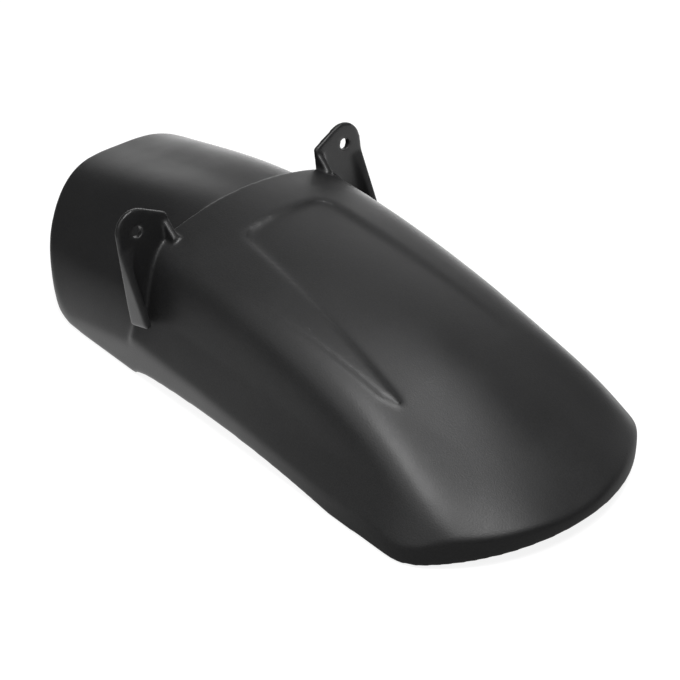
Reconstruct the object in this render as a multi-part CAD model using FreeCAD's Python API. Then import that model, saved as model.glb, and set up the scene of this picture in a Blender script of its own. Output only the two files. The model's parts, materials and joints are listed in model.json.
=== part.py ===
import FreeCAD, Part
import math
import os

os.makedirs("parts", exist_ok=True)
V = FreeCAD.Vector

# Overall sizes, in mm. X points forward, Y to the left, Z up, the floor is at zero.
front_reach = 118.0
rear_reach = 248.6
half_front = 81.2
half_rear = 80.5
roof_height = 82.0
wall = 3.0

# How far shapes that only cut or trim reach past the part.
past = 40.0
tall = 260.0

# The ear station is measured from the middle of the length, so that the box is centred.
ear_x = (rear_reach - front_reach) / 2.0

# Cross-sections of the arched roof. The near line is measured from the middle, the shoulder
# and the flank from the side. The overrun carries the roof past the side before it is trimmed.
near_half = 40.0
shoulder_in = 20.0
flank_in = 10.0
overrun = 5.0
line_shares = (40.0, 22.0, 20.0, 19.0, 10.0)

# Main body, one row for each station behind the ears, as a share of the rear reach, with the
# heights of the crown, near line, shoulder, flank and side as shares of the roof height.
main_rows = [
    (-0.0965, 1.0134, 0.9500, 0.8207, 0.5646, 0.3000),
    (0.1207, 0.9951, 0.9317, 0.8098, 0.5317, 0.2439),
    (0.4023, 0.8854, 0.8220, 0.7171, 0.4561, 0.1841),
    (0.6557, 0.6878, 0.6256, 0.5520, 0.3500, 0.1293),
    (0.8286, 0.4561, 0.4080, 0.3590, 0.2480, 0.0830),
    (0.9654, 0.2402, 0.2000, 0.0902, -0.0366, -0.1463),
    (1.1263, -0.0976, -0.1341, -0.2439, -0.3537, -0.4634),
]

# Plan outline of the tail, the roll of its rim, and the lift of its lower edge in the middle.
tail_radius = 100.0
tail_corner = 31.4
rim_roll = 3.6
tail_lift = 7.5
tail_lift_in = 2.5
tail_lift_at = 200.0

# Side view of the main body: the jog under the ears and the arch of the lower edge behind it.
jog_run = 13.0
edge_start = 3.5
edge_rise = 6.2
edge_rise_at = 68.0
edge_end_at = 156.0

# Front section, with rows as above but ahead of the ears as a share of the front reach. Its
# roof lies one step lower than the main body's.
front_rows = [
    (0.1525, 0.9780, 0.8878, 0.7049, 0.5561, 0.2317),
    (-0.0847, 0.9707, 0.8805, 0.6463, 0.4976, 0.1902),
    (-0.5254, 0.8780, 0.7878, 0.5427, 0.3829, 0.0561),
    (-1.1186, 0.7073, 0.6171, 0.4171, 0.2415, -0.1220),
]
lap = 4.0
side_roll = 3.5
front_corner = 66.0
nose_in = 69.0
nose_radius = 90.0
nose_angle = 65.0

# Recessed panel on the crown, deepest at its front wall and run out at its rear tips.
panel_front_at = 31.0
panel_front_half = 28.0
panel_tip_at = 164.0
panel_tip_half = 41.0
panel_depth = 2.2
panel_corner = 9.0

# Low ribs beside the panel, run out at the front and highest at their rear points.
rib_start_at = 37.0
rib_start_half = 56.5
rib_end_at = 157.0
rib_end_half = 45.6
rib_height = 1.6
rib_bite = 0.35

# Mounting ears.
hole_half = 70.7
hole_height = 82.6
hole_radius = 3.3
ear_lean = 9.6
ear_radius = 12.0
ear_plate = 3.4
ear_inner_half = 50.4
ear_inner_top = 3.4
ear_corner = 2.5
gusset_wall = 4.2
gusset_start = -7.0
gusset_run = 12.5
gusset_foot = 48.0
gusset_fillet = 5.0
small_gusset_run = 7.5
small_gusset_drop = 9.5


def prism(points, axis):
    wire = Part.makePolygon(points + [points[0]])
    return Part.Face(wire).extrude(axis)


def upright(edge):
    a = edge.Vertexes[0]
    b = edge.Vertexes[-1]
    return abs(a.Z - b.Z) > past / 2.0 and math.hypot(a.X - b.X, a.Y - b.Y) < 0.01


def section(row, reach, inset):
    """One arched cross-section, its upper line moved inward by the inset."""
    back = row[0] * reach
    crown, near, shoulder, flank, side = [share * roof_height for share in row[1:]]
    x = ear_x - back
    half_here = half_front + (half_rear - half_front) * min(max(back / rear_reach, 0.0), 1.0)
    end_slope = (flank - side) / flank_in
    half = [
        (0.0, crown),
        (near_half, near),
        (half_here - shoulder_in, shoulder),
        (half_here - flank_in, flank),
        (half_here, side),
        (half_here + overrun, side - overrun * end_slope),
    ]
    line = [(-y, z) for y, z in reversed(half[1:])] + half
    moved = []
    for i, (y, z) in enumerate(line):
        a = line[max(i - 1, 0)]
        b = line[min(i + 1, len(line) - 1)]
        run = math.hypot(b[0] - a[0], b[1] - a[1])
        ny = -(b[1] - a[1]) / run
        nz = (b[0] - a[0]) / run
        moved.append(V(x, y - inset * ny, z - inset * nz))
    along = [0.0]
    for share in tuple(reversed(line_shares)) + line_shares:
        along.append(along[-1] + share)
    curve = Part.BSplineCurve()
    curve.interpolate(Points=moved, Parameters=along)
    foot_a = V(x, moved[0].y, -2.0 * past)
    foot_b = V(x, moved[-1].y, -2.0 * past)
    return Part.Wire([
        curve.toShape(),
        Part.makeLine(moved[-1], foot_b),
        Part.makeLine(foot_b, foot_a),
        Part.makeLine(foot_a, moved[0]),
    ])


def arch(rows, reach, inset):
    return Part.makeLoft([section(row, reach, inset) for row in rows], True, False)


def roof_edges(solid):
    """Edges where the arched roof meets the upright walls of the outline."""
    found = []
    for edge in solid.Edges:
        faces = [f for f in solid.Faces if any(e.isSame(edge) for e in f.Edges)]
        if len(faces) != 2:
            continue
        middle = edge.valueAt((edge.FirstParameter + edge.LastParameter) / 2.0)
        lift = []
        for face in faces:
            u, v = face.Surface.parameter(middle)
            lift.append(abs(face.normalAt(u, v).z))
        if min(lift) < 0.01 and 0.03 < max(lift) < 0.995 and middle.z > -past:
            found.append(edge)
    return found


def tail_plan(inset):
    """Upright prism of the main body's outline, seen from above."""
    low = -2.0 * past
    front = ear_x + past / 2.0
    tip = ear_x - rear_reach + inset
    half_a = half_front - inset
    half_b = half_rear - inset
    radius = max(tail_radius - inset, half_b * 1.02)
    meet = tip + radius - math.sqrt(radius ** 2 - half_b ** 2)
    a = V(front, half_a, low)
    b = V(meet, half_b, low)
    c = V(meet, -half_b, low)
    d = V(front, -half_a, low)
    wire = Part.Wire([
        Part.makeLine(a, b),
        Part.Arc(b, V(tip, 0.0, low), c).toShape(),
        Part.makeLine(c, d),
        Part.makeLine(d, a),
    ])
    block = Part.Face(wire).extrude(V(0, 0, tall))
    corners = [e for e in block.Edges if upright(e) and e.Vertexes[0].X < meet + 1.0]
    return block.makeFillet(tail_corner - inset, corners)


def panel(roof, spread):
    """Recess cutter: the roof's own surface swung down about the line of the rear tips."""
    slope = (panel_tip_half - panel_front_half) / (panel_tip_at - panel_front_at)
    run_out = past / 3.0
    front = ear_x - panel_front_at + spread
    back = ear_x - panel_tip_at - run_out
    wide_a = panel_front_half + spread
    wide_b = panel_tip_half + run_out * slope + spread
    block = prism([
        V(front, -wide_a, 0.0),
        V(front, wide_a, 0.0),
        V(back, wide_b, 0.0),
        V(back, -wide_b, 0.0),
    ], V(0, 0, tall / 2.0))
    corners = [e for e in block.Edges if upright(e) and e.Vertexes[0].X > front - 1.0]
    block = block.makeFillet(panel_corner, corners)
    turn = math.degrees(math.asin(panel_depth / (panel_tip_at - panel_front_at)))
    tip = V(ear_x - panel_tip_at, 0.0, main_rows[3][1] * roof_height)
    floor = roof.copy()
    floor.rotate(tip, V(0, 1, 0), turn)
    return block.cut(floor)


def rib(roof):
    """Left rib: a band of the roof's surface swung up about its front end."""
    slope = (panel_tip_half - panel_front_half) / (panel_tip_at - panel_front_at)
    start = panel_front_half + slope * (rib_start_at - panel_front_at) - rib_bite
    low = past / 2.0
    band = prism([
        V(ear_x - rib_start_at, start, low),
        V(ear_x - rib_start_at, rib_start_half, low),
        V(ear_x - rib_end_at, rib_end_half, low),
        V(ear_x - panel_tip_at - 2.0, panel_tip_half + 0.6, low),
        V(ear_x - panel_tip_at, panel_tip_half - rib_bite, low),
    ], V(0, 0, tall / 2.0))
    turn = math.degrees(math.asin(rib_height / (rib_end_at - rib_start_at)))
    front = V(ear_x - rib_start_at - 2.0, 0.0, main_rows[1][1] * roof_height)
    lifted = roof.copy()
    lifted.rotate(front, V(0, 1, 0), turn)
    return lifted.common(band)


def main_block(inset):
    roof = arch(main_rows, rear_reach, inset)
    block = roof.common(tail_plan(inset))
    if inset == 0.0:
        block = block.makeFillet(rim_roll, roof_edges(block))
    block = block.cut(panel(roof, inset * 0.5))
    if inset == 0.0:
        left_rib = rib(roof)
        block = block.fuse([left_rib, left_rib.mirror(V(0, 0, 0), V(0, 1, 0))])
    return block


def side_profile():
    """Side view of the main body: upright front edge, jog and arched lower edge."""
    side = -tall / 2.0
    end = ear_x - rear_reach - past
    corners = [
        V(end, side, 0.0),
        V(end, side, tall),
        V(ear_x, side, tall),
        V(ear_x, side, 0.0),
        V(ear_x - jog_run, side, edge_start),
    ]
    lines = [Part.makeLine(a, b) for a, b in zip(corners, corners[1:])]
    top = V(ear_x - edge_rise_at, side, edge_rise)
    foot = V(ear_x - edge_end_at, side, 0.0)
    arc = Part.Arc(corners[-1], top, foot).toShape()
    wire = Part.Wire(lines + [arc, Part.makeLine(foot, corners[0])])
    return Part.Face(wire).extrude(V(0, tall, 0))


def tail_arch():
    """Cutter for the lower edge of the tail, which rises towards the middle."""
    half = half_rear - tail_lift_in
    x = ear_x - tail_lift_at
    a = V(x, -half, 0.0)
    b = V(x, half, 0.0)
    arc = Part.Arc(a, V(x, 0.0, tail_lift), b).toShape()
    low_a = V(x, -half, -past)
    low_b = V(x, half, -past)
    wire = Part.Wire([
        arc,
        Part.makeLine(b, low_b),
        Part.makeLine(low_b, low_a),
        Part.makeLine(low_a, a),
    ])
    return Part.Face(wire).extrude(V(tail_lift_at - rear_reach - past, 0, 0))


def front_block(inset):
    reach = ear_x + front_reach
    back = ear_x - lap
    half = half_front - inset
    outline = Part.makeBox(reach + past - back, 2.0 * half, tall, V(back, -half, -2.0 * past))
    block = arch(front_rows, front_reach, inset).common(outline)
    return block.makeFillet(side_roll, roof_edges(block))


def front_trim():
    """Plan outline of the front section with large round corners, and its rounded lower corner."""
    reach = ear_x + front_reach
    back = ear_x - past
    box = Part.makeBox(reach - back, 2.0 * half_front, tall, V(back, -half_front, 0.0))
    corners = [e for e in box.Edges if upright(e) and e.Vertexes[0].X > reach - 1.0]
    box = box.makeFillet(front_corner, corners)

    def nose(angle):
        t = math.radians(angle)
        return V(reach - nose_in + nose_radius * math.sin(t), -tall / 2.0, nose_radius * (1.0 - math.cos(t)))

    start = V(back, -tall / 2.0, 0.0)
    end = nose(nose_angle)
    top_end = V(end.x, end.y, tall)
    top_start = V(start.x, start.y, tall)
    wire = Part.Wire([
        Part.makeLine(start, nose(0.0)),
        Part.Arc(nose(0.0), nose(nose_angle / 2.0), end).toShape(),
        Part.makeLine(end, top_end),
        Part.makeLine(top_end, top_start),
        Part.makeLine(top_start, start),
    ])
    return box.common(Part.Face(wire).extrude(V(0, tall, 0)))


def ear():
    """Left ear: leaning plate with round top and hole, an outer and an inner gusset."""
    foot = -gusset_foot - wall / 2.0
    out = hole_half + ear_radius
    lean_s = math.sin(math.radians(ear_lean))
    lean_c = math.cos(math.radians(ear_lean))

    def at(y, h, x=0.0):
        """Point of the leaning ear: h up the plate and x ahead of its rear face."""
        return V(ear_x + x * lean_c + h * lean_s, y, hole_height + h * lean_c - x * lean_s)

    ahead = at(0.0, 0.0, 1.0) - at(0.0, 0.0)
    reach = hole_half - ear_inner_half
    turn = math.atan2(ear_inner_top, reach) + math.acos(ear_radius / math.hypot(reach, ear_inner_top))

    def round_top(angle):
        return at(hole_half - ear_radius * math.cos(angle), ear_radius * math.sin(angle))

    wire = Part.Wire([
        Part.makeLine(at(out, foot), at(out, 0.0)),
        Part.Arc(at(out, 0.0), round_top((math.pi + turn) / 2.0), round_top(turn)).toShape(),
        Part.makeLine(round_top(turn), at(ear_inner_half, ear_inner_top)),
        Part.makeLine(at(ear_inner_half, ear_inner_top), at(ear_inner_half, foot)),
        Part.makeLine(at(ear_inner_half, foot), at(out, foot)),
    ])
    plate = Part.Face(wire).extrude(ahead * ear_plate)
    tip = at(ear_inner_half, ear_inner_top, ear_plate / 2.0)
    tip_edge = [e for e in plate.Edges if e.CenterOfMass.distanceToPoint(tip) < 0.01]
    plate = plate.makeFillet(ear_corner, tip_edge)

    def web(y, start, drop, run, low):
        bite = ear_plate / 7.0
        return prism([
            at(y, start, bite),
            at(y, start),
            at(y, start - drop, -run),
            at(y, low),
            at(y, low, bite),
        ], V(0, gusset_wall, 0))

    inner_start = ear_inner_top - ear_corner
    outer_web = web(out - gusset_wall, gusset_start, gusset_foot + gusset_start, gusset_run, foot)
    inner_web = web(ear_inner_half, inner_start, small_gusset_drop, small_gusset_run, foot)
    whole = plate.fuse([outer_web, inner_web]).removeSplitter()
    root = []
    for e in whole.Edges:
        m = e.CenterOfMass
        on_web = abs(m.y - out + gusset_wall) < 0.01
        on_plate = abs((m - at(m.y, 0.0)).dot(ahead)) < 0.01
        if on_web and on_plate and e.Length > gusset_run:
            root.append(e)
    whole = whole.makeFillet(gusset_fillet, root)
    bore = Part.makeCylinder(hole_radius, ear_plate * 2.0, at(hole_half, 0.0, -ear_plate / 2.0), ahead)
    return whole.cut(bore)


outer = main_block(0.0)
inner = main_block(wall)
body = outer.cut(inner).common(side_profile()).cut(tail_arch())
front_inner = front_block(wall)
front = front_block(0.0).cut(front_inner).common(front_trim())
left = ear().cut(inner).cut(front_inner)
right = left.mirror(V(0, 0, 0), V(0, 1, 0))
fender = body.fuse([front, left, right]).removeSplitter()
for name, shape in (("body", body), ("front", front), ("ear", left), ("fender", fender)):
    print(name, shape.isValid(), len(shape.Solids), [round(s.Volume) for s in shape.Solids])
fender.exportStep("parts/fender.step")
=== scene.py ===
# %% [markdown]
# # A moulded rear fender, dressed for a studio picture
# The real object is one piece of injection-moulded black plastic: an arched shell with a step, two
# ears and a shallow panel. The solid from the construction step already has the true sizes, so this
# script keeps every size and gives the moulding its soft edges, its grained finish, a camera and a
# light.

# %% Load the frame
import bpy
import bmesh
import json
import math
import numpy as np
from mathutils import Matrix, Vector
from mathutils.bvhtree import BVHTree


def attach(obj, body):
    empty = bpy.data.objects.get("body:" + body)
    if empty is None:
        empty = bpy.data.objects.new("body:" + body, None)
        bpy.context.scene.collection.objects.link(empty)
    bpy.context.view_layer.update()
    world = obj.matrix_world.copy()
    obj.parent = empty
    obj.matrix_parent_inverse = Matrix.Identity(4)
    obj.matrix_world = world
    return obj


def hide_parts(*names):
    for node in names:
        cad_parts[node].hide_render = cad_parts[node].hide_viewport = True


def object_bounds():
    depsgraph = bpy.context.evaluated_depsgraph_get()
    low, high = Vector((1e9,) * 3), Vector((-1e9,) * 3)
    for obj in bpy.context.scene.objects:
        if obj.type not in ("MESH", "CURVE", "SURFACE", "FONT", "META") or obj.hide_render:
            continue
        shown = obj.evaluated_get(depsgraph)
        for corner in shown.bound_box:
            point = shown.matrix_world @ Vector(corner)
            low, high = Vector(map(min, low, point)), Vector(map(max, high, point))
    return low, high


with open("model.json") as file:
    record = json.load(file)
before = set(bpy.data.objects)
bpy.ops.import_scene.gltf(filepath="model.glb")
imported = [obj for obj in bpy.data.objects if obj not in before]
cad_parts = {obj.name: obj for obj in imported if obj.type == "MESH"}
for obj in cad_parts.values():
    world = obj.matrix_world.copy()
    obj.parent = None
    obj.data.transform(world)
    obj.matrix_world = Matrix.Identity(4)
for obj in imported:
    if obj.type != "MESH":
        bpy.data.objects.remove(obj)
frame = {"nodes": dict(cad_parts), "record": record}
cad_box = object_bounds()
cad_low, cad_high = cad_box
print("solid box in mm:", [round(1000 * (b - a), 1) for a, b in zip(cad_low, cad_high)])

# %% [markdown]
# ## Camera
# The picture was taken from behind, from the left and from above with a long lens. A camera is
# fixed by two angles, a range and a small sideways shift of the point it looks at, so those few
# numbers are written once and the place and the turn of the camera follow from them.

# %% Camera from two angles and a range
heading = math.radians(48.5)
height_angle = math.radians(34.449)
camera_range = 0.9593
aim_shift = (-0.050307, 0.081556)
focal_share = 1810.0 / 680.0

bore = frame["record"]["mounts"][0]["pos_m"]
ear_middle = Vector((bore[0] - 0.00168, 0.0, bore[2] + 0.00028))
to_right = Vector((-math.cos(heading), -math.sin(heading), 0.0))
to_back = Vector((
    -math.sin(heading) * math.cos(height_angle),
    math.cos(heading) * math.cos(height_angle),
    math.sin(height_angle),
))
to_top = to_back.cross(to_right)

lens = bpy.data.cameras.new("long_lens")
lens.sensor_width = 36.0
lens.lens = 36.0 * focal_share
lens.clip_start = 0.01
lens.clip_end = 50.0
camera = bpy.data.objects.new("camera", lens)
bpy.context.scene.collection.objects.link(camera)
place = ear_middle + to_back * camera_range - to_right * aim_shift[0] - to_top * aim_shift[1]
turn = Matrix((to_right, to_top, to_back)).transposed()
camera.matrix_world = Matrix.Translation(place) @ turn.to_4x4()
bpy.context.scene.camera = camera
print("camera at", [round(c, 3) for c in place], "lens", round(lens.lens, 1))

# %% [markdown]
# ## The moulding
# A mould never gives a knife edge: every rim, ear and rib comes out with a radius of about a
# millimetre, and the walls of the panel are softer still. Bevelling hundreds of edges of a trimmed
# solid is fragile. Here the solid is copied, closed into one skin and rebuilt on an even grid of
# small cells with a Remesh modifier, so that all edges can be softened in one go in the next step.

# %% Even skin over the solid
cell = 0.00065


def plain_mesh(maker, name):
    """The evaluated object as a mesh of its own."""
    graph = bpy.context.evaluated_depsgraph_get()
    made = bpy.data.meshes.new_from_object(maker.evaluated_get(graph))
    made.name = name
    return made


skin = frame["nodes"]["fender"].data.copy()
skin.materials.clear()
weld = bmesh.new()
weld.from_mesh(skin)
bmesh.ops.remove_doubles(weld, verts=weld.verts, dist=1e-6)
print("welded:", len(weld.verts), "points", len(weld.faces), "faces")

# %% [markdown]
# At the step the roof of the main body ends above the front section. On a moulding the two are
# joined by a thin upright wall there. Looking straight down just behind the step, rays find the
# underside of the upper roof and the top of the lower one, and the wall is a closed strip that
# bites a little into both.

# %% Wall under the step
sight = BVHTree.FromBMesh(weld)
wall_x = ear_middle.x - 0.0021
wall_half = 0.0015
bite = 0.001


def way_down(y):
    """Heights of the faces met from above, just behind the step."""
    found = []
    start = Vector((wall_x, y, 0.2))
    while len(found) < 8:
        hit = sight.ray_cast(start, Vector((0.0, 0.0, -1.0)))[0]
        if hit is None:
            break
        found.append(hit.z)
        start = hit - Vector((0.0, 0.0, 1e-5))
    return found


def wall_strip(rings):
    """Closed strip through rings of four points."""
    loops = []
    for y, low, high in rings:
        corners = ((-1, low), (1, low), (1, high), (-1, high))
        loops.append([weld.verts.new((wall_x + side * wall_half, y, z)) for side, z in corners])
    for a, b in zip(loops, loops[1:]):
        for i in range(4):
            k = (i + 1) % 4
            weld.faces.new((a[i], a[k], b[k], b[i]))
    weld.faces.new(list(reversed(loops[0])))
    weld.faces.new(loops[-1])


run = []
strips = 0
for i in range(-79, 81):
    heights = way_down(i / 1000.0)
    slit = heights[1] - heights[2] if len(heights) > 3 else 0.0
    if 0.0002 < slit < 0.016 and i < 80:
        run.append((i / 1000.0, heights[2] - bite, heights[1] + bite))
    else:
        if len(run) > 2:
            wall_strip(run)
            strips += 1
        run = []
bmesh.ops.recalc_face_normals(weld, faces=weld.faces)
weld.to_mesh(skin)
weld.free()
print("wall strips under the step:", strips)

# %% Even cells
moulding = bpy.data.objects.new("fender_moulding", skin)
bpy.context.scene.collection.objects.link(moulding)
even = moulding.modifiers.new("even_cells", "REMESH")
even.mode = "VOXEL"
even.voxel_size = cell
even.adaptivity = 0.0
gridded = plain_mesh(moulding, "gridded")
moulding.modifiers.clear()
moulding.data = gridded
print("even skin:", len(gridded.vertices), "points", len(gridded.polygons), "faces")

# %% [markdown]
# The grid cuts the small bolt holes into rough polygons. The record says where each bore is and how
# wide, so the points of its wall are put back on the true cylinder.

# %% True bolt holes
count = len(gridded.vertices)
points = np.zeros(count * 3)
gridded.vertices.foreach_get("co", points)
points = points.reshape(-1, 3)
bore_wall = np.zeros(count, bool)
for mount in frame["record"]["mounts"]:
    axis = np.array(mount["axis"]) / np.linalg.norm(mount["axis"])
    middle = np.array(mount["pos_m"])
    radius = mount["dims"]["r_mm"] / 1000.0
    reach = points - middle
    deep = reach @ axis
    out = reach - np.outer(deep, axis)
    away = np.linalg.norm(out, axis=1)
    near = (np.abs(deep) < 0.0035) & (away < radius + 0.8 * cell)
    points[near] = middle + np.outer(deep[near], axis) + out[near] * (radius / away[near])[:, None]
    bore_wall |= near
gridded.vertices.foreach_set("co", points.ravel())
print("bore points:", int(bore_wall.sum()))

# %% [markdown]
# ## Soft edges with Geometry Nodes
# Blurring the position of every point rounds what is sharp and leaves flat and gently curved faces
# where they are. The tree has two rounds of it: one for all edges, and a longer one for the panel
# and the ribs, whose walls are the softest on the real part. A point attribute says how much each
# place takes.

# %% How soft each place is
normals = np.zeros(count * 3)
gridded.vertices.foreach_get("normal", normals)
normals = normals.reshape(-1, 3)
behind = (ear_middle.x - points[:, 0]) * 1000.0
aside = np.abs(points[:, 1]) * 1000.0


def fade(value, low, high):
    """0 below low, 1 above high, smooth between."""
    t = np.clip((value - low) / (high - low), 0.0, 1.0)
    return t * t * (3.0 - 2.0 * t)


crown_side = fade(normals[:, 2], 0.3, 0.6)
along_panel = fade(behind, 20.0, 26.0) * fade(-behind, -182.0, -172.0)
panel_zone = along_panel * fade(-aside, -47.0, -40.0) * crown_side
panel_zone *= 1.0 - 0.75 * fade(behind, 50.0, 130.0)
low_rim = fade(-points[:, 2], -0.03, -0.022)
nose_rim = fade(-behind, 35.0, 50.0) * fade(-points[:, 2], -0.075, -0.065)
ear_zone = fade(-np.abs(behind), -24.0, -18.0) * fade(points[:, 2], 0.035, 0.045)
edge_zone = 0.2 + np.maximum(0.45 * low_rim, 0.7 * nose_rim) - 0.12 * ear_zone
edge_zone[bore_wall] = 0.0
for label, values in (("panel_softness", panel_zone), ("edge_softness", edge_zone)):
    layer = gridded.attributes.new(label, "FLOAT", "POINT")
    layer.data.foreach_set("value", values.astype(np.float32))
print("panel points:", int((panel_zone > 0.5).sum()))

# %% The softening tree
def soften_tree():
    tree = bpy.data.node_groups.new("soften_moulding", "GeometryNodeTree")
    face = tree.interface
    face.new_socket("Geometry", in_out="INPUT", socket_type="NodeSocketGeometry")
    for label, value in (("Edge rounds", 30), ("Panel rounds", 26)):
        socket = face.new_socket(label, in_out="INPUT", socket_type="NodeSocketInt")
        socket.default_value = value
    face.new_socket("Finish", in_out="INPUT", socket_type="NodeSocketMaterial")
    face.new_socket("Geometry", in_out="OUTPUT", socket_type="NodeSocketGeometry")
    take = tree.nodes.new("NodeGroupInput")
    give = tree.nodes.new("NodeGroupOutput")
    flow = take.outputs["Geometry"]
    for attribute, rounds in (("edge_softness", "Edge rounds"), ("panel_softness", "Panel rounds")):
        weight = tree.nodes.new("GeometryNodeInputNamedAttribute")
        weight.data_type = "FLOAT"
        weight.inputs["Name"].default_value = attribute
        here = tree.nodes.new("GeometryNodeInputPosition")
        blur = tree.nodes.new("GeometryNodeBlurAttribute")
        blur.data_type = "FLOAT_VECTOR"
        move = tree.nodes.new("GeometryNodeSetPosition")
        tree.links.new(here.outputs["Position"], blur.inputs["Value"])
        tree.links.new(take.outputs[rounds], blur.inputs["Iterations"])
        tree.links.new(weight.outputs["Attribute"], blur.inputs["Weight"])
        tree.links.new(flow, move.inputs["Geometry"])
        tree.links.new(blur.outputs["Value"], move.inputs["Position"])
        flow = move.outputs["Geometry"]
    smooth = tree.nodes.new("GeometryNodeSetShadeSmooth")
    solid = tree.nodes.new("GeometryNodeRealizeInstances")
    paint = tree.nodes.new("GeometryNodeSetMaterial")
    tree.links.new(flow, smooth.inputs["Geometry"])
    tree.links.new(smooth.outputs["Geometry"], solid.inputs["Geometry"])
    tree.links.new(solid.outputs["Geometry"], paint.inputs["Geometry"])
    tree.links.new(take.outputs["Finish"], paint.inputs["Material"])
    tree.links.new(paint.outputs["Geometry"], give.inputs["Geometry"])
    return tree


def socket_id(tree, label):
    """Identifier of a named input of a tree."""
    for item in tree.interface.items_tree:
        if item.in_out == "INPUT" and item.name == label:
            return item.identifier


plastic = bpy.data.materials.new("satin_black_plastic")
tree = soften_tree()
soften = moulding.modifiers.new("soften", "NODES")
soften.node_group = tree
soften[socket_id(tree, "Edge rounds")] = 30
soften[socket_id(tree, "Panel rounds")] = 26
soften[socket_id(tree, "Finish")] = plastic
softened = plain_mesh(moulding, "fender_moulding")
moulding.modifiers.clear()
moulding.data = softened
print("moulding:", len(softened.vertices), "points")

# %% [markdown]
# ## Painted edge highlights and a smoother inside
# Convex outer edges get a lighter colour, a painted highlight that stands in for the thin glints along
# the rounded rims; the inside is smoother than the outside. Both follow from the shape, so they are
# worked out per point and kept as attributes that the material reads.

# %% Painted edge highlight and inside attributes
count = len(softened.vertices)
points = np.zeros(count * 3)
softened.vertices.foreach_get("co", points)
points = points.reshape(-1, 3)
normals = np.zeros(count * 3)
softened.vertices.foreach_get("normal", normals)
normals = normals.reshape(-1, 3)
pairs = np.zeros(len(softened.edges) * 2, np.int64)
softened.edges.foreach_get("vertices", pairs)
pairs = pairs.reshape(-1, 2)


def ring_mean(values):
    """Mean of each point's neighbours."""
    total = np.zeros_like(values)
    seen = np.zeros(len(values))
    for a, b in ((0, 1), (1, 0)):
        np.add.at(total, pairs[:, a], values[pairs[:, b]])
        np.add.at(seen, pairs[:, a], 1.0)
    return total / np.maximum(seen, 1.0).reshape((-1,) + (1,) * (values.ndim - 1))


# Painted highlight mask: how convex each point is; convex edges are later lightened in the base colour.
bulge = -np.einsum("ij,ij->i", ring_mean(points) - points, normals) / cell
painted_edge_highlight = np.clip((bulge - 0.05) / 0.2, 0.0, 1.0)
behind = (ear_middle.x - points[:, 0]) * 1000.0
aside = np.abs(points[:, 1]) * 1000.0
on_panel = fade(behind, 20.0, 26.0) * fade(-aside, -47.0, -40.0) * fade(points[:, 2], 0.02, 0.03)
painted_edge_highlight *= 1.0 - 0.8 * on_panel
for _ in range(2):
    painted_edge_highlight = 0.5 * painted_edge_highlight + 0.5 * ring_mean(painted_edge_highlight)
inside = fade(-normals[:, 2], 0.1, 0.4)
for label, values in (("painted_edge_highlight", painted_edge_highlight), ("inside", inside)):
    layer = softened.attributes.new(label, "FLOAT", "POINT")
    layer.data.foreach_set("value", values.astype(np.float32))
print("edge points:", int((painted_edge_highlight > 0.3).sum()), "inside points:", int((inside > 0.5).sum()))

# %% [markdown]
# The even cells have done their work. Broad calm faces need far fewer of them than edges do, so a
# Decimate modifier takes away the ones that change the shape least, until the piece is light enough
# to share.

# %% Fewer faces where the shape is calm
face_goal = 180000
fewer = moulding.modifiers.new("fewer_faces", "DECIMATE")
fewer.ratio = face_goal / (2.0 * len(softened.polygons))
light = plain_mesh(moulding, "fender_moulding")
moulding.modifiers.clear()
moulding.data = light
light.polygons.foreach_set("use_smooth", np.ones(len(light.polygons), bool))
print("light moulding:", len(light.polygons), "faces", [a.name for a in light.attributes][:8])

# %% [markdown]
# ## Satin black plastic
# The finish is black polypropylene out of a lightly grained mould: almost black, with a broad dull
# gloss and a fine speckle where the grain catches the light. A fine noise makes the grain as a bump
# and as a small change of colour, a wide one makes the gloss uneven. One attribute paints a lighter
# colour along convex edges as a painted highlight, the other makes the inside a little glossier.

# %% Build the plastic
plastic.use_nodes = True
nodes = plastic.node_tree.nodes
links = plastic.node_tree.links
shader = nodes["Principled BSDF"]
shader.inputs["IOR"].default_value = 1.49
where = nodes.new("ShaderNodeTexCoord")


def noise(scale, detail, rough):
    node = nodes.new("ShaderNodeTexNoise")
    node.inputs["Scale"].default_value = scale
    node.inputs["Detail"].default_value = detail
    node.inputs["Roughness"].default_value = rough
    links.new(where.outputs["Object"], node.inputs["Vector"])
    return node.outputs["Fac"]


def spread(value, low, high, out_low, out_high):
    node = nodes.new("ShaderNodeMapRange")
    for label, number in (("From Min", low), ("From Max", high), ("To Min", out_low), ("To Max", out_high)):
        node.inputs[label].default_value = number
    links.new(value, node.inputs["Value"])
    return node.outputs["Result"]


def blend(share, first, second):
    node = nodes.new("ShaderNodeMix")
    node.data_type = "RGBA"
    links.new(share, node.inputs["Factor"])
    for slot_index, colour in ((6, first), (7, second)):
        if isinstance(colour, tuple):
            node.inputs[slot_index].default_value = colour + (1.0,)
        else:
            links.new(colour, node.inputs[slot_index])
    return node.outputs[2]


def sum_of(first, second):
    node = nodes.new("ShaderNodeMath")
    node.operation = "ADD"
    links.new(first, node.inputs[0])
    links.new(second, node.inputs[1])
    return node.outputs[0]


def reading(label):
    node = nodes.new("ShaderNodeAttribute")
    node.attribute_name = label
    return node.outputs["Fac"]


grain = noise(1250.0, 2.0, 0.6)
cloud = noise(24.0, 3.0, 0.55)
speckle = spread(grain, 0.35, 0.7, 0.0, 1.0)
body_colour = blend(speckle, (0.006, 0.006, 0.0063), (0.0115, 0.0115, 0.0118))
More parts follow.
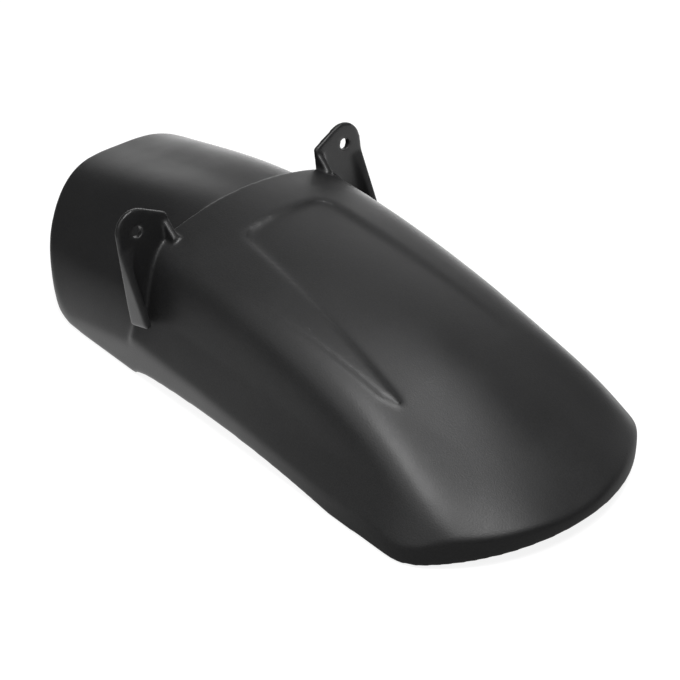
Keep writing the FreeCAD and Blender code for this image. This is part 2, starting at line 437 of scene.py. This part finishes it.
# Painted highlight: the base colour is blended towards a lighter grey along convex edges.
painted_highlight_share = spread(reading("painted_edge_highlight"), 0.0, 1.0, 0.0, 0.55)
links.new(blend(painted_highlight_share, body_colour, (0.055, 0.055, 0.056)), shader.inputs["Base Color"])
dull = spread(cloud, 0.3, 0.7, 0.42, 0.5)
smoother = spread(reading("inside"), 0.0, 1.0, 0.0, -0.08)
links.new(sum_of(dull, smoother), shader.inputs["Roughness"])
bump = nodes.new("ShaderNodeBump")
bump.inputs["Strength"].default_value = 0.5
bump.inputs["Distance"].default_value = 0.00012
links.new(grain, bump.inputs["Height"])
links.new(bump.outputs["Normal"], shader.inputs["Normal"])
print("plastic nodes:", len(nodes))

# %% [markdown]
# ## Join the moulding to the frame
# The soft skin stands for the solid, which stays in the physics, and it moves with the one body of
# the part.

# %% Ride and replace
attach(moulding, "root")
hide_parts("fender")

# %% [markdown]
# ## Floor and light
# Black plastic is drawn by what it mirrors. The floor has a light of its own that differs by the
# kind of ray: the camera sees it white with a pale shadow, and reflections see two bright patches.
# The large one, ahead and to the right, runs along the right shoulder. The small one, close on the
# left, lights the skirt and the gusset.

# %% White floor
floor_mesh = bpy.data.meshes.new("floor")
floor_radius = 9.0
floor_level = -0.0002
ring = 64
rim = []
for i in range(ring):
    angle = 2 * math.pi * i / ring
    rim.append((floor_radius * math.cos(angle), floor_radius * math.sin(angle), floor_level))
floor_mesh.from_pydata(rim, [], [tuple(range(ring))])
floor = bpy.data.objects.new("floor", floor_mesh)
bpy.context.scene.collection.objects.link(floor)
paper = bpy.data.materials.new("white_paper")
paper.use_nodes = True
paper_nodes = paper.node_tree.nodes
paper_links = paper.node_tree.links
sheet_shader = paper_nodes["Principled BSDF"]
sheet_shader.inputs["Base Color"].default_value = (0.22, 0.22, 0.22, 1.0)
sheet_shader.inputs["Roughness"].default_value = 0.9
sheet_shader.inputs["Specular IOR Level"].default_value = 0.0
sheet_shader.inputs["Emission Color"].default_value = (1.0, 1.0, 1.0, 1.0)
path = paper_nodes.new("ShaderNodeLightPath")
most = paper_nodes.new("ShaderNodeMath")
most.operation = "MAXIMUM"
paper_links.new(path.outputs["Is Glossy Ray"], most.inputs[0])
paper_links.new(path.outputs["Is Transmission Ray"], most.inputs[1])
spot = paper_nodes.new("ShaderNodeTexCoord")


def patch(centre, full, none, level):
    """Glow of the floor round a point: the level within one radius, nothing beyond another."""
    far = paper_nodes.new("ShaderNodeVectorMath")
    far.operation = "DISTANCE"
    far.inputs[1].default_value = centre
    paper_links.new(spot.outputs["Object"], far.inputs[0])
    fall = paper_nodes.new("ShaderNodeMapRange")
    fall.interpolation_type = "SMOOTHSTEP"
    for label, number in (("From Min", full), ("From Max", none), ("To Min", level), ("To Max", 0.0)):
        fall.inputs[label].default_value = number
    paper_links.new(far.outputs["Value"], fall.inputs["Value"])
    return fall.outputs["Result"]


both = paper_nodes.new("ShaderNodeMath")
both.operation = "ADD"
right_patch = patch(centre=(0.32, -0.75, 0.0), full=0.3, none=0.95, level=4.0)
left_patch = patch(centre=(0.06, 0.13, 0.0), full=0.05, none=0.2, level=1.1)
paper_links.new(right_patch, both.inputs[0])
paper_links.new(left_patch, both.inputs[1])
near_glow = paper_nodes.new("ShaderNodeMath")
near_glow.operation = "MULTIPLY"
paper_links.new(most.outputs[0], near_glow.inputs[0])
paper_links.new(both.outputs[0], near_glow.inputs[1])
glow = paper_nodes.new("ShaderNodeMath")
glow.operation = "MULTIPLY_ADD"
glow.inputs[1].default_value = 0.88
paper_links.new(path.outputs["Is Camera Ray"], glow.inputs[0])
paper_links.new(near_glow.outputs[0], glow.inputs[2])
paper_links.new(glow.outputs[0], sheet_shader.inputs["Emission Strength"])
floor_mesh.materials.append(paper)
print("floor radius in m:", floor_radius)

# %% [markdown]
# A strong lamp overhead gives the soft patch on the tail. A low wide one ahead on the right is
# mirrored by the front section, and two weak ones fill the panel and the left shoulder. Nothing
# stands low on the left, which leaves that flank dark.

# %% Lamps and surroundings
def lamp(name, spot, aim, wide, tall, power):
    light = bpy.data.lights.new(name, "AREA")
    light.shape = "RECTANGLE"
    light.size = wide
    light.size_y = tall
    light.energy = power
    holder = bpy.data.objects.new(name, light)
    holder.location = spot
    holder.rotation_euler = (Vector(aim) - Vector(spot)).to_track_quat("-Z", "Y").to_euler()
    bpy.context.scene.collection.objects.link(holder)
    return holder


part_middle = (0.0, 0.0, 0.05)
tail_middle = (-0.1, 0.0, 0.05)
lamp("overhead_softbox", (-0.32, 0.1, 1.2), tail_middle, wide=0.62, tall=0.62, power=17.0)
lamp("right_panel", (0.9, -1.25, 0.32), part_middle, wide=2.4, tall=0.64, power=7.0)
lamp("front_fill", (0.8, -0.9, 1.1), part_middle, wide=0.8, tall=0.8, power=1.4)
lamp("left_fill", (0.0, 0.85, 0.9), tail_middle, wide=0.9, tall=0.9, power=4.5)
world = bpy.data.worlds.new("studio")
bpy.context.scene.world = world
world.use_nodes = True
sky_nodes = world.node_tree.nodes
sky_links = world.node_tree.links
sky = sky_nodes["Background"]
sky.inputs["Color"].default_value = (1.0, 1.0, 1.0, 1.0)
sky_path = sky_nodes.new("ShaderNodeLightPath")
sky_level = sky_nodes.new("ShaderNodeMath")
sky_level.operation = "MULTIPLY_ADD"
sky_level.inputs[1].default_value = 0.93
sky_level.inputs[2].default_value = 0.07
sky_links.new(sky_path.outputs["Is Camera Ray"], sky_level.inputs[0])
sky_links.new(sky_level.outputs[0], sky.inputs["Strength"])
bpy.context.scene.view_settings.view_transform = "Standard"
